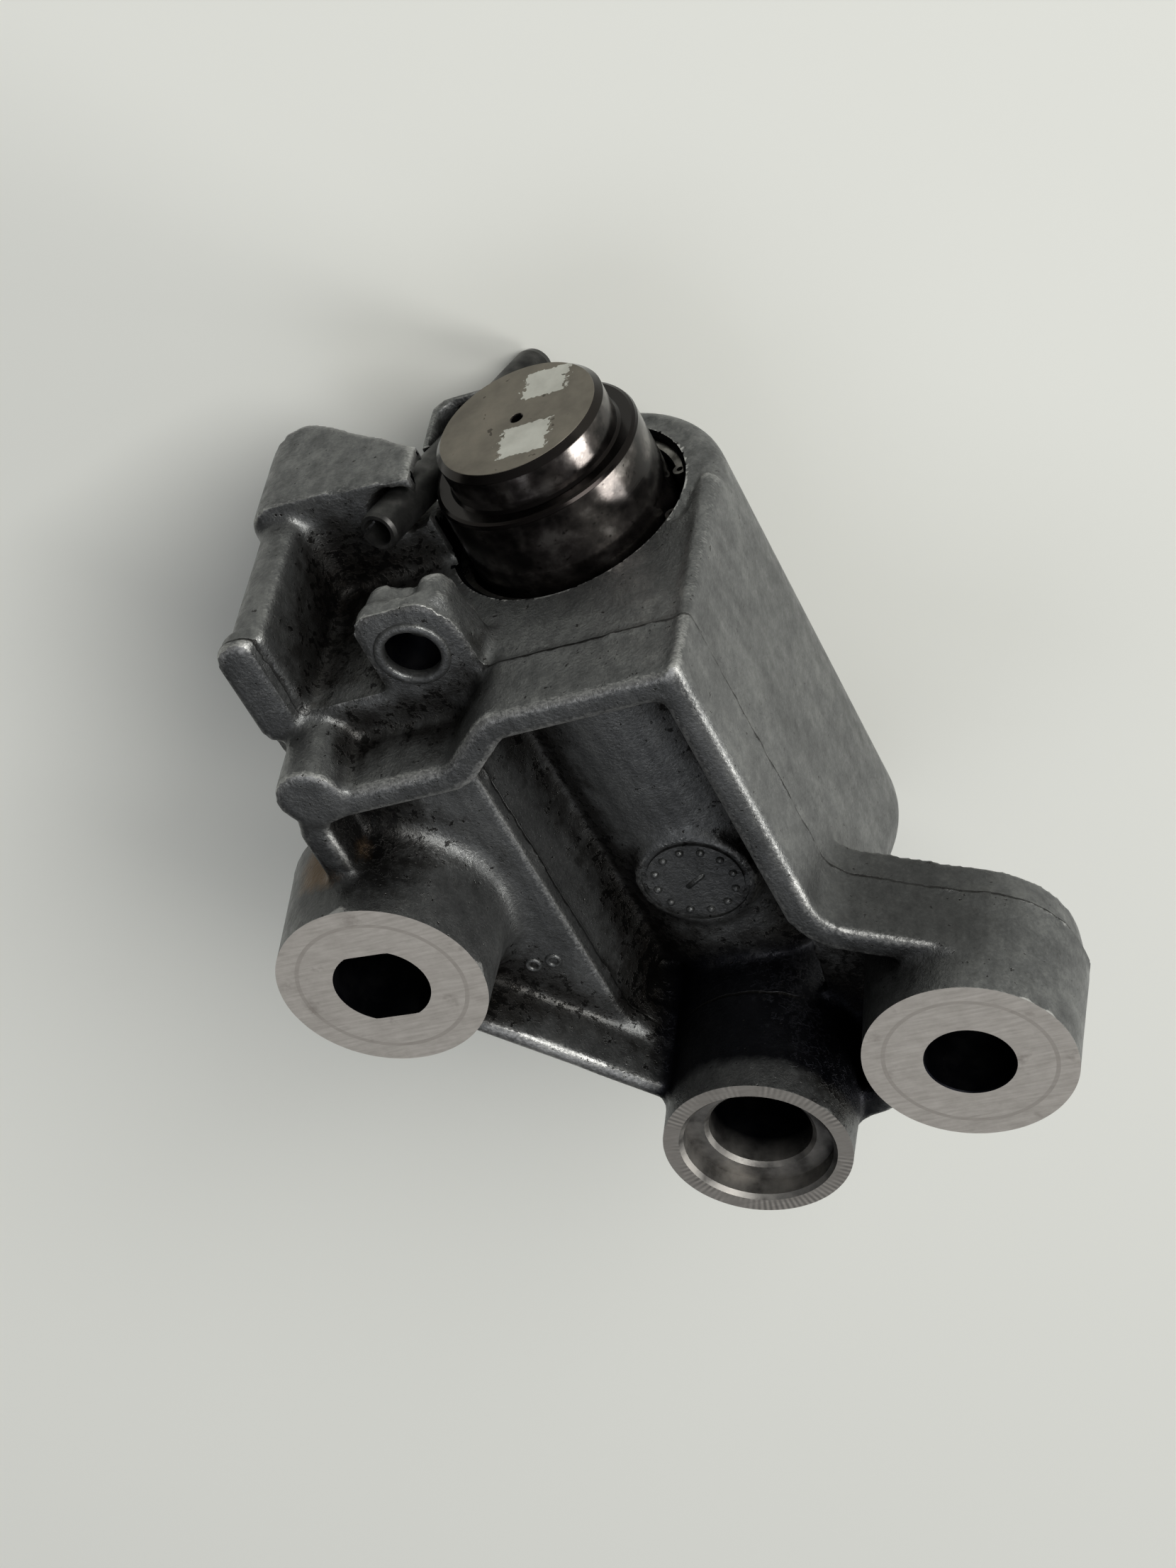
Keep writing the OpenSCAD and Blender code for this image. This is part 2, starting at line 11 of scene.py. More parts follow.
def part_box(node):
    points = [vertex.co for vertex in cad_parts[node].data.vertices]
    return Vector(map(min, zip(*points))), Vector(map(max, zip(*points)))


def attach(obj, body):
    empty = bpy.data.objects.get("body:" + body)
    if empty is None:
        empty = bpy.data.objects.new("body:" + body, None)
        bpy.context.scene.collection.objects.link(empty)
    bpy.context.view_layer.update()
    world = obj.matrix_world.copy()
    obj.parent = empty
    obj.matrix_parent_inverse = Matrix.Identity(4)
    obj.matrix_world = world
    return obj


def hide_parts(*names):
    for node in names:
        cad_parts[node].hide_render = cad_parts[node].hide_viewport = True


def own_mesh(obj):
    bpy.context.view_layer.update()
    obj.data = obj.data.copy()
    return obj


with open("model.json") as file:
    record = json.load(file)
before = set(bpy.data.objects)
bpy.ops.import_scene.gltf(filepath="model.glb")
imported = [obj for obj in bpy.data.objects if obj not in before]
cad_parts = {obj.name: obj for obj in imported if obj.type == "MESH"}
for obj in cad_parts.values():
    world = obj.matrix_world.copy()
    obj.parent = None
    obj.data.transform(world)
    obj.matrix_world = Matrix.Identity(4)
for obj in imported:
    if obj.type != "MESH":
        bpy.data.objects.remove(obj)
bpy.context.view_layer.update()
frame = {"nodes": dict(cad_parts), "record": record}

# Body casting
# The body is one pressure die casting in aluminium. The mould leaves round edges, a parting line
# and a mottled grey skin, and the faces and holes that do work are milled and drilled afterwards.
MM = 0.001
mounts = {mount["name"]: mount for mount in frame["record"]["mounts"]}
plunger_low, plunger_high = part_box("plunger")
seat_low, seat_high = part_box("valve_seat")
ring_low, ring_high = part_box("snap_ring")
body_low, body_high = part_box("housing")
AXIS_X = (plunger_low.x + plunger_high.x) / 2
AXIS_Z = (plunger_low.z + plunger_high.z) / 2
PLUNGER_RADIUS = (plunger_high.x - plunger_low.x) / 2
SEAT_RADIUS = (seat_high.x - seat_low.x) / 2
BORE_RADIUS = PLUNGER_RADIUS + 0.03 * MM
MOUTH_RADIUS = (ring_high.z - ring_low.z) / 2 - 0.2 * MM
BARREL_END = ring_low.y + 1.6 * MM
MOUTH_START = BARREL_END - 4.5 * MM
OIL_WAY_RADIUS, OIL_WAY_LENGTH = 1.5 * MM, 9 * MM
PARTING_Z = -9.25 * MM

bolt = Vector(mounts["bolt_hole"]["pos_m"])
slot = Vector(mounts["flat_sided_hole"]["pos_m"])
port = Vector(mounts["oil_port"]["pos_m"])
ear = Vector(mounts["ear_hole"]["pos_m"])
port.z = 0.0
ear.z = PARTING_Z
BOLT_RADIUS = mounts["bolt_hole"]["dims"]["r_mm"] * MM
BOSS_LENGTH = mounts["bolt_hole"]["dims"]["length_mm"] * MM
PORT_RADIUS = mounts["oil_port"]["dims"]["r_mm"] * MM
RECESS_RADIUS = mounts["port_seal_recess"]["dims"]["r_mm"] * MM
RECESS_DEPTH = mounts["port_seal_recess"]["dims"]["length_mm"] * MM
EAR_RADIUS = mounts["ear_hole"]["dims"]["r_mm"] * MM
EAR_DEPTH, PORT_DEPTH = 4.2 * MM, 28.8 * MM
SLOT_LONG, SLOT_FLATS, SLOT_TURN = 3.7 * MM, 3.3 * MM, math.radians(-5)
BOSS_RADIUS, PORT_RIM_RADIUS = 8.0 * MM, 7.3 * MM
PAD = Vector((AXIS_X, port.y + 16.9 * MM, AXIS_Z + 12.3 * MM))
PAD_GROOVE_IN, PAD_GROOVE_OUT, PAD_GROOVE_DEPTH = 3.75 * MM, 4.15 * MM, 0.25 * MM


def up(height):
    return Vector((0, 0, height))


def along_axis(y):
    return Vector((AXIS_X, y, AXIS_Z))


def rod(bm, start, end, radius, far_radius=None, segments=96):
    """A closed cylinder or cone between two points."""
    turn = (end - start).to_track_quat("Z", "Y").to_matrix().to_4x4()
    bmesh.ops.create_cone(bm, cap_ends=True, segments=segments, radius1=radius,
                          radius2=radius if far_radius is None else far_radius,
                          depth=(end - start).length,
                          matrix=Matrix.Translation((start + end) / 2) @ turn)


def piece_of(name, bm):
    """An object that holds a finished mesh, at the origin."""
    mesh = bpy.data.meshes.new(name)
    bm.to_mesh(mesh)
    bm.free()
    made = bpy.data.objects.new(name, mesh)
    bpy.context.scene.collection.objects.link(made)
    return made


def settle(piece):
    """The piece's modifiers become its mesh."""
    deps = bpy.context.evaluated_depsgraph_get()
    mesh = bpy.data.meshes.new_from_object(piece.evaluated_get(deps))
    piece.modifiers.clear()
    piece.data = mesh


# The rough casting: the holes are closed and the milled faces stand a little high, so that
# the softening rounds the cast edges and leaves the machined ones to the cutters.
SKIN_GRAIN, SOFTENING = 0.375 * MM, 3
ALLOWANCE, FLARE, TAPER = 2 * MM, 0.1 * MM, 0.05 * MM
rough = bmesh.new()
rough.from_mesh(frame["nodes"]["housing"].data)
bmesh.ops.remove_doubles(rough, verts=rough.verts, dist=0.001 * MM)
for boss in (bolt, slot):
    rod(rough, boss - up(BOSS_LENGTH - 0.6 * MM), boss + up(ALLOWANCE), BOSS_RADIUS * 0.75)
for rim, radius, collar in ((bolt, BOSS_RADIUS, 3 * MM), (slot, BOSS_RADIUS, 3 * MM),
                            (port, PORT_RIM_RADIUS, 4 * MM)):
    rod(rough, rim - up(collar), rim + up(ALLOWANCE), radius + FLARE, radius - TAPER)
rod(rough, port - up(PORT_DEPTH), port + up(ALLOWANCE), PORT_RADIUS + 0.8 * MM)
rod(rough, along_axis(seat_low.y), along_axis(BARREL_END), MOUTH_RADIUS + 0.4 * MM)
rod(rough, ear - up(EAR_DEPTH), ear, EAR_RADIUS + 0.4 * MM)
rod(rough, PAD - up(0.8 * MM), PAD, PAD_GROOVE_OUT + 0.25 * MM)
casting = piece_of("casting", rough)
skin = casting.modifiers.new("cast skin", "REMESH")
skin.mode = "VOXEL"
skin.voxel_size = SKIN_GRAIN
soften = casting.modifiers.new("round edges", "SMOOTH")
soften.factor = 0.5
soften.iterations = SOFTENING
settle(casting)


def read(items, name, width=3):
    """One property of all points, faces or edges, as an array."""
    values = np.empty(len(items) * width, np.int32 if name == "vertices" else np.float32)
    items.foreach_get(name, values)
    return values.reshape(-1, width)


# The halves of the mould meet at the parting plane and leave a step and a thin, broken ridge.
# Punches beside the mouth leave two shallow arcs in the barrel's end.
STEP, STEP_RUN = 0.1 * MM, 3 * MM
FLASH, FLASH_WIDTH, FLASH_BREAKS = 0.2 * MM, 0.22 * MM, 1.4 * MM
ARC_IN, ARC_OUT, ARC_DEPTH = 9.65 * MM, 10.4 * MM, 0.16 * MM
ARC_ANGLES = ((-62, -28), (-8, 25))
points = read(casting.data.vertices, "co")
outward = read(casting.data.vertex_normals, "vector")
from_port = np.hypot(points[:, 0] - port.x, points[:, 1] - port.y)
upright = (abs(outward[:, 2]) < 0.6) & (from_port > PORT_RIM_RADIUS + 3 * MM)
upright &= abs(points[:, 2] - PARTING_Z) < STEP_RUN
for i in np.nonzero(upright)[0]:
    height = float(points[i, 2]) - PARTING_Z
    broken = 0.3 + 0.9 * noise.noise(Vector(points[i]) / FLASH_BREAKS)
    ridge = FLASH * max(0.0, broken) * math.exp(-(height / FLASH_WIDTH) ** 2)
    under = STEP * max(0.0, 1.0 + height / STEP_RUN) if height < 0 else 0.0
    points[i] += outward[i] * (ridge - under)
reach = np.hypot(points[:, 0] - AXIS_X, points[:, 2] - AXIS_Z)
angle = np.degrees(np.arctan2(points[:, 2] - AXIS_Z, points[:, 0] - AXIS_X))
on_end = (outward[:, 1] > 0.7) & (abs(points[:, 1] - BARREL_END) < 0.4 * MM)
on_end &= (reach > ARC_IN) & (reach < ARC_OUT)
for first, last in ARC_ANGLES:
    points[on_end & (angle > first) & (angle < last), 1] -= ARC_DEPTH
points[:, :2] = np.clip(points[:, :2], body_low[:2], body_high[:2])
casting.data.vertices.foreach_set("co", points.ravel())
casting.data.update()


def lathe(bm, profile, place, steps=192):
    """A ring turned from a closed profile of radius and height round the z axis of a place."""
    loops = []
    for i in range(steps):
        a = 2 * math.pi * i / steps
        loops.append([bm.verts.new(place @ Vector((r * math.cos(a), r * math.sin(a), h)))
                      for r, h in profile])
    for i in range(steps):
        here, ahead = loops[i], loops[(i + 1) % steps]
        for j in range(len(profile)):
            k = (j + 1) % len(profile)
            bm.faces.new((here[j], ahead[j], ahead[k], here[k]))
    bmesh.ops.recalc_face_normals(bm, faces=bm.faces)


# The cutters mill the three faces to one plane, drill and broach the holes, and sink the pad's ring.
CHAMFER, EDGE_BREAK, OVERLAP, RUN_OUT = 0.35 * MM, 0.12 * MM, 0.02 * MM, 2 * MM
CUTTER_WIDTH, CUTTER_HEIGHT, BROACH_STEPS = 200 * MM, 10 * MM, 64
drills = [
    (bolt - up(BOSS_LENGTH + RUN_OUT), bolt + up(RUN_OUT), BOLT_RADIUS, None),
    (bolt - up(EDGE_BREAK), bolt + up(OVERLAP), BOLT_RADIUS - OVERLAP, BOLT_RADIUS + EDGE_BREAK),
    (port - up(PORT_DEPTH), port + up(RUN_OUT), PORT_RADIUS, None),
    (port - up(RECESS_DEPTH + CHAMFER), port - up(RECESS_DEPTH - OVERLAP),
     PORT_RADIUS - OVERLAP, PORT_RADIUS + CHAMFER),
    (port - up(RECESS_DEPTH), port + up(RUN_OUT), RECESS_RADIUS, None),
    (port - up(CHAMFER), port + up(OVERLAP), RECESS_RADIUS - OVERLAP, RECESS_RADIUS + CHAMFER),
    (along_axis(seat_low.y), along_axis(seat_high.y + 0.2 * MM), SEAT_RADIUS, None),
    (along_axis(seat_low.y - OIL_WAY_LENGTH), along_axis(seat_low.y + 0.2 * MM), OIL_WAY_RADIUS, None),
    (along_axis(seat_high.y), along_axis(BARREL_END + 1 * MM), BORE_RADIUS, None),
    (along_axis(MOUTH_START), along_axis(BARREL_END + 13 * MM), MOUTH_RADIUS, None),
    (along_axis(BARREL_END - CHAMFER), along_axis(BARREL_END + OVERLAP),
     MOUTH_RADIUS - OVERLAP, MOUTH_RADIUS + CHAMFER),
    (ear - up(EAR_DEPTH + 1 * MM), ear + up(1 * MM), EAR_RADIUS, None),
]
cutters = []
for number, (start, end, radius, far_radius) in enumerate(drills):
    hole = bmesh.new()
    rod(hole, start, end, radius, far_radius, segments=128)
    cutters.append(piece_of(f"drill_{number}", hole))
milling = bmesh.new()
bmesh.ops.create_cube(milling, size=1.0, matrix=Matrix.Translation((AXIS_X, 0, CUTTER_HEIGHT / 2))
                      @ Matrix.Diagonal((CUTTER_WIDTH, CUTTER_WIDTH, CUTTER_HEIGHT, 1)))
cutters.append(piece_of("mill", milling))
sunk = bmesh.new()
lathe(sunk, [(PAD_GROOVE_IN, -PAD_GROOVE_DEPTH), (PAD_GROOVE_OUT, -PAD_GROOVE_DEPTH),
             (PAD_GROOVE_OUT, 1 * MM), (PAD_GROOVE_IN, 1 * MM)], Matrix.Translation(PAD))
cutters.append(piece_of("pad_groove", sunk))
broach = bmesh.new()
outline = []
for i in range(BROACH_STEPS):
    a = 2 * math.pi * i / BROACH_STEPS
    across = max(-SLOT_FLATS, min(SLOT_FLATS, SLOT_LONG * math.sin(a)))
    corner = Matrix.Rotation(SLOT_TURN, 2) @ Vector((SLOT_LONG * math.cos(a), across))
    outline.append(broach.verts.new((slot.x + corner.x, slot.y + corner.y, -BOSS_LENGTH - RUN_OUT)))
base = broach.faces.new(outline)
raised = bmesh.ops.extrude_face_region(broach, geom=[base])["geom"]
bmesh.ops.translate(broach, verts=[part for part in raised if isinstance(part, bmesh.types.BMVert)],
                    vec=up(BOSS_LENGTH + 2 * RUN_OUT))
bmesh.ops.recalc_face_normals(broach, faces=broach.faces)
cutters.append(piece_of("broach", broach))
for cutter in cutters:
    cut = casting.modifiers.new(cutter.name, "BOOLEAN")
    cut.operation = "DIFFERENCE"
    cut.solver = "MANIFOLD"
    cut.object = cutter
settle(casting)
for cutter in cutters:
    bpy.data.objects.remove(cutter)

# Values on every point: "hollow" where rays are blocked, which sets painted shade as well as where dirt and
# oil collect, "edge" on convex edges, where handling wears the skin bright and a highlight is painted, and
# "seam" on the open walls that the parting line crosses.
mesh = casting.data
places = read(mesh.vertices, "co")
normals = read(mesh.vertex_normals, "vector")
pairs = read(mesh.edges, "vertices", 2)


def spread(values, times):
    """Values on points, evened out over their neighbours."""
    for _ in range(times):
        total = values.copy()
        number = np.ones(len(values), np.float32)
        for a, b in ((0, 1), (1, 0)):
            np.add.at(total, pairs[:, a], values[pairs[:, b]])
            np.add.at(number, pairs[:, a], 1)
        values = total / number.reshape((-1,) + (1,) * (values.ndim - 1))
    return values


bulge = np.einsum("ij,ij->i", places - spread(places, 2), normals) / SKIN_GRAIN
bulge = spread(bulge.astype(np.float32), 1)
SIGHT, RAYS, LIFT, EVERY = 14 * MM, 20, 0.15 * MM, 7
GOLDEN_TURN = math.pi * (3 - math.sqrt(5))
fan = []
for i in range(RAYS):
    height = math.sqrt((i + 0.5) / RAYS)
    width = math.sqrt(1 - height * height)
    fan.append(Vector((width * math.cos(i * GOLDEN_TURN), width * math.sin(i * GOLDEN_TURN), height)))
walls = BVHTree.FromPolygons(places.tolist(), [tuple(face.vertices) for face in mesh.polygons])
samples = range(0, len(places), EVERY)
finder = KDTree(len(samples))
shade = []
lifted = places + normals * LIFT
for number, i in enumerate(samples):
    turn = Vector(normals[i]).to_track_quat("Z", "Y")
    start = Vector(lifted[i])
    found = [walls.ray_cast(start, turn @ ray, SIGHT)[3] for ray in fan]
    shade.append(sum(1.0 - 0.6 * d / SIGHT for d in found if d is not None) / RAYS)
    finder.insert(start, number)
finder.balance()
hidden = spread(np.array([shade[finder.find(p)[1]] for p in lifted.tolist()], np.float32), 4)
open_wall = (hidden < 0.42) & (abs(normals[:, 2]) < 0.7)
open_wall = spread(open_wall.astype(np.float32), 3)
for name, values in (("hollow", hidden), ("edge", bulge), ("seam", open_wall)):
    mesh.attributes.new(name, "FLOAT", "POINT").data.foreach_set("value", values.astype(np.float32))


def srgb(code):
    """A colour written as sRGB hex, in linear light."""
    parts = [int(code[i:i + 2], 16) / 255 for i in (1, 3, 5)]
    return tuple(c / 12.92 if c <= 0.04045 else ((c + 0.055) / 1.055) ** 2.4 for c in parts) + (1.0,)


def plug(tree, node, inputs):
    """Sockets of a node are set, or linked to a socket or to a node's first live output."""
    for key, value in inputs.items():
        if isinstance(value, bpy.types.Node):
            value = next(out for out in value.outputs if out.enabled)
        if isinstance(value, bpy.types.NodeSocket):
            tree.links.new(value, node.inputs[key])
        else:
            node.inputs[key].default_value = srgb(value) if isinstance(value, str) else value


def add(tree, kind, inputs=None, stops=(), **settings):
    """A node with its settings, its ramp's stops of place and tone, and its sockets."""
    made = tree.nodes.new(kind)
    for key, value in settings.items():
        setattr(made, key, value)
    band = made.color_ramp.elements if stops else []
    while len(band) < len(stops):
        band.new(0.5)
    for element, (position, tone) in zip(band, stops):
        element.position = position
        element.color = srgb(tone) if isinstance(tone, str) else (tone, tone, tone, 1.0)
    plug(tree, made, inputs or {})
    return made


def finish_of(name, metallic):
    """A new finish, with its node tree, its main shader and the place on the object."""
    made = bpy.data.materials.new(name)
    made.use_nodes = True
    tree = made.node_tree
    shader = tree.nodes["Principled BSDF"]
    plug(tree, shader, {"Metallic": metallic})
    return made, tree, shader, add(tree, "ShaderNodeTexCoord").outputs["Object"]


def near(tree, place, centre, radius):
    """Full at a centre, falling to nothing at a radius."""
    away = add(tree, "ShaderNodeVectorMath", {0: place, 1: centre}, operation="DISTANCE")
    return add(tree, "ShaderNodeMapRange", {"Value": away, "From Min": radius, "From Max": 0.0})


def layer(tree, under, tone, pattern, stops, mask=1.0):
    """A tone laid over a colour where a pattern is strong: the new colour, and how much was laid."""
    amount = add(tree, "ShaderNodeValToRGB", {"Fac": pattern}, stops)
    amount = add(tree, "ShaderNodeMath", {0: amount, 1: mask}, operation="MULTIPLY")
    laid = add(tree, "ShaderNodeMix", {"Factor": amount, "A": under, "B": tone}, data_type="RGBA")
    return laid, amount


def dress(tree, shader, colour, dull, relief, strength, depth):
    """Colour, roughness and relief go to the shader."""
    bump = add(tree, "ShaderNodeBump", {"Height": relief, "Strength": strength, "Distance": depth})
    plug(tree, shader, {"Base Color": colour, "Roughness": dull, "Normal": bump})


# Die-cast skin: dull oxide with clouds, flow streaks and fine grain, bright edges that are partly scratched
# wear and partly painted highlight, black oily dirt mixed with painted shade in the hollows, a port column
# darkened by oil and painted shade, and a dark line at the parting plane.
# The grain is drawn coarser than the real one, so that it shows.
LINE_WIDE, LINE_NARROW, LINE_WANDER = 0.17 * MM, 0.08 * MM, 0.4 * MM
PAD_SPARED_REACH, COLUMN_REACH, OIL_AND_SHADE_START, OIL_AND_SHADE_FULL = 6 * MM, 11 * MM, -1.2 * MM, -3.5 * MM
OIL_FILMS = (((-2.0, 8.5, -8.0), 11.0), ((-38.5, 27.0, -5.0), 8.0))
CRUST, CRUST_REACH = Vector((-40.2, 26.6, -6.0)) * MM, 4.5 * MM
cast_skin, tree, shader, place = finish_of("die_cast_skin", 0.85)
flow = add(tree, "ShaderNodeMapping", {"Vector": place, "Scale": (1.0, 0.14, 0.5)})
rub = add(tree, "ShaderNodeMapping", {"Vector": place, "Scale": (1.0, 1.0, 2.5), "Rotation": (0.0, 0.0, 0.5)})
level = add(tree, "ShaderNodeMapping", {"Vector": place, "Scale": (1.0, 1.0, 0.0)})
mottle, grain, streak, patches, scratch, lumps, wander, pores = [
    add(tree, "ShaderNodeTexNoise", {"Vector": where, "Scale": 1 / (size * MM), "Detail": detail,
                                     "Roughness": harsh})
    for where, size, detail, harsh in (
        (place, 1.2, 5.0, 0.65), (place, 0.28, 3.0, 0.7), (flow, 0.9, 3.0, 0.6), (place, 8.0, 4.0, 0.6),
        (rub, 0.3, 2.0, 0.6), (place, 0.8, 5.0, 0.72), (place, 0.9, 4.0, 0.6), (place, 0.5, 2.0, 0.6))]
hollow, edge, seam = [add(tree, "ShaderNodeAttribute", attribute_name=name).outputs["Fac"]
                      for name in ("hollow", "edge", "seam")]
tone = patches
for part in (mottle, streak, grain):
    tone = add(tree, "ShaderNodeMath", {0: tone, 1: part}, operation="ADD")
tone = add(tree, "ShaderNodeMath", {0: tone, 1: 0.25}, operation="MULTIPLY")
colour = add(tree, "ShaderNodeValToRGB", {"Fac": tone},
             ((0.40, "#4d4e4e"), (0.5, "#606161"), (0.60, "#767776")))
# Painted highlight: convex edges are painted bright, partly real handling wear and partly a painted highlight.
wear_and_highlight = add(tree, "ShaderNodeMath", {0: scratch, 1: 0.4}, operation="MULTIPLY")
wear_and_highlight = add(tree, "ShaderNodeMath", {0: edge, 1: 1.8, 2: wear_and_highlight}, operation="MULTIPLY_ADD")
colour = layer(tree, colour, "#b4b4b2", wear_and_highlight, ((0.38, 0.0), (0.64, 1.0)))[0]
# Painted shade: the hollows are painted dark, partly oily dirt and partly painted shade, less of both near the
# pad.
off_pad = add(tree, "ShaderNodeMath", {0: near(tree, place, PAD, PAD_SPARED_REACH), 1: -0.8, 2: 1.0},
            operation="MULTIPLY_ADD")
dirt_and_shade = add(tree, "ShaderNodeMath", {0: mottle, 1: 0.4, 2: hollow}, operation="MULTIPLY_ADD")
colour = layer(tree, colour, "#1f1c19", dirt_and_shade, ((0.40, 0.0), (0.54, 0.7), (0.70, 0.96)), off_pad)[0]
clumps = add(tree, "ShaderNodeMath", {0: hollow, 1: 0.6, 2: lumps}, operation="MULTIPLY_ADD")
colour, clumps = layer(tree, colour, "#121110", clumps, ((0.74, 0.0), (0.79, 0.9)), off_pad)
# Painted shade: the port column is painted near black, more so lower down, partly oil and partly painted shade.
height = add(tree, "ShaderNodeSeparateXYZ", {"Vector": place}).outputs["Z"]
below = add(tree, "ShaderNodeMapRange", {"Value": height, "From Min": OIL_AND_SHADE_START, "From Max": OIL_AND_SHADE_FULL})
oil_and_shade = add(tree, "ShaderNodeMath", {0: mottle, 1: 1.6, 2: 1.4}, operation="MULTIPLY_ADD")
for part in (near(tree, level, (port.x, port.y, 0.0), COLUMN_REACH), below):
    oil_and_shade = add(tree, "ShaderNodeMath", {0: oil_and_shade, 1: part}, operation="MULTIPLY")
colour = layer(tree, colour, "#121319", oil_and_shade, ((0.25, 0.0), (0.6, 0.93)))[0]
for centre, size in OIL_FILMS:
    film = near(tree, place, Vector(centre) * MM, size * MM)
    film = add(tree, "ShaderNodeMath", {0: film, 1: mottle}, operation="MULTIPLY")
    colour = layer(tree, colour, "#1c1c1c", film, ((0.05, 0.0), (0.3, 0.6)))[0]
wobble = add(tree, "ShaderNodeMath", {0: wander, 1: LINE_WANDER, 2: -PARTING_Z - LINE_WANDER / 2},
             operation="MULTIPLY_ADD")
off = add(tree, "ShaderNodeMath", {0: height, 1: wobble}, operation="ADD")
off = add(tree, "ShaderNodeMath", {0: off}, operation="ABSOLUTE")
line = add(tree, "ShaderNodeMapRange", {"Value": off, "From Min": LINE_WIDE, "From Max": LINE_NARROW})
line = add(tree, "ShaderNodeMath", {0: line, 1: seam}, operation="MULTIPLY")
colour, line = layer(tree, colour, "#1e1d1c", patches, ((0.4, 0.6), (0.52, 1.0)), line)
crust = add(tree, "ShaderNodeMath", {0: near(tree, place, CRUST, CRUST_REACH), 1: mottle}, operation="MULTIPLY")
crust = add(tree, "ShaderNodeMath", {0: crust, 1: 2.0}, operation="MULTIPLY")
colour = layer(tree, colour, "#5a4731", crust, ((0.2, 0.0), (0.5, 0.85)))[0]
colour, speck = layer(tree, colour, "#211f1e", pores, ((0.69, 0.0), (0.73, 0.9)))
relief = add(tree, "ShaderNodeMath", {0: grain, 1: mottle}, operation="ADD")
relief = add(tree, "ShaderNodeMath", {0: relief, 1: clumps}, operation="ADD")
sunken = add(tree, "ShaderNodeMath", {0: line, 1: 2.0, 2: speck}, operation="MULTIPLY_ADD")
relief = add(tree, "ShaderNodeMath", {0: relief, 1: sunken}, operation="SUBTRACT")
dull = add(tree, "ShaderNodeValToRGB", {"Fac": mottle}, ((0.3, 0.52), (0.7, 0.32)))
dress(tree, shader, colour, dull, relief, 0.5, 0.12 * MM)

# Milled faces: pale bare metal with the fine arcs of a face cutter and scratches across it, the
# dull ring that a washer has pressed into each boss, and chatter marks on the port's rim.
FEED, FEEDS_IN_WAVE, CUTTER_CENTRE = 0.45 * MM, 20, (0.055, -0.09, 0.0)
WASHER, WASHER_LINE = 6.4 * MM, 0.16 * MM
CHATTER_MARKS, RIM_REACH = 96, 7.6 * MM
milled, tree, shader, place = finish_of("milled_aluminium", 0.45)
swing = add(tree, "ShaderNodeMapping", {"Vector": place, "Location": CUTTER_CENTRE})
arcs = add(tree, "ShaderNodeTexWave", {"Vector": swing, "Scale": 1 / (FEEDS_IN_WAVE * FEED), "Distortion": 1.5,
                                       "Detail": 2.0}, wave_type="RINGS", rings_direction="Z").outputs["Fac"]
stroke = add(tree, "ShaderNodeMapping", {"Vector": place, "Scale": (0.15, 1.6, 1.0), "Rotation": (0.0, 0.0, 0.6)})
haze, scuff, stain, gaps = [
    add(tree, "ShaderNodeTexNoise", {"Vector": where, "Scale": 1 / (size * MM), "Detail": detail,
                                     "Roughness": 0.6})
    for where, size, detail in ((place, 1.5, 5.0), (stroke, 0.45, 3.0), (place, 2.6, 6.0), (place, 5.0, 4.0))]
tone = add(tree, "ShaderNodeMath", {0: haze, 1: scuff}, operation="ADD")
tone = add(tree, "ShaderNodeMath", {0: tone, 1: 0.5}, operation="MULTIPLY")
colour = add(tree, "ShaderNodeValToRGB", {"Fac": tone},
             ((0.36, "#a39e98"), (0.5, "#b2ada7"), (0.64, "#c0bbb5")))
for boss in (bolt, slot):
    away = add(tree, "ShaderNodeVectorMath", {0: place, 1: boss}, operation="DISTANCE")
    off = add(tree, "ShaderNodeMath", {0: away, 1: WASHER}, operation="SUBTRACT")
    off = add(tree, "ShaderNodeMath", {0: off}, operation="ABSOLUTE")
    ring = add(tree, "ShaderNodeMath", {0: off, 1: WASHER_LINE}, operation="LESS_THAN")
    ring = add(tree, "ShaderNodeMath", {0: ring, 1: haze}, operation="MULTIPLY")
    colour = add(tree, "ShaderNodeMix", {"Factor": ring, "A": colour, "B": "#938d87"}, data_type="RGBA")
colour = layer(tree, colour, "#77706a", stain, ((0.6, 0.0), (0.72, 0.5)))[0]
out = add(tree, "ShaderNodeVectorMath", {0: place, 1: port}, operation="SUBTRACT")
around = add(tree, "ShaderNodeTexGradient", {"Vector": out}, gradient_type="RADIAL").outputs["Fac"]
chatter = add(tree, "ShaderNodeMath", {0: around, 1: 2 * math.pi * CHATTER_MARKS}, operation="MULTIPLY")
chatter = add(tree, "ShaderNodeMath", {0: chatter}, operation="SINE")
gaps = add(tree, "ShaderNodeValToRGB", {"Fac": gaps}, ((0.45, 0.0), (0.6, 0.22)))
chatter = add(tree, "ShaderNodeMath", {0: chatter, 1: gaps, 2: 0.55}, operation="MULTIPLY_ADD")
away = add(tree, "ShaderNodeVectorMath", {0: out}, operation="LENGTH")
on_rim = add(tree, "ShaderNodeMath", {0: away, 1: RIM_REACH}, operation="LESS_THAN")
on_rim = add(tree, "ShaderNodeMath", {0: on_rim, 1: chatter}, operation="MULTIPLY")
colour = add(tree, "ShaderNodeMix", {"Factor": on_rim, "A": colour, "B": "#4b4a48"}, data_type="RGBA")
relief = add(tree, "ShaderNodeMath", {0: arcs, 1: scuff}, operation="ADD")
dull = add(tree, "ShaderNodeValToRGB", {"Fac": haze}, ((0.3, 0.52), (0.7, 0.38)))
dress(tree, shader, colour, dull, relief, 0.3, 0.03 * MM)
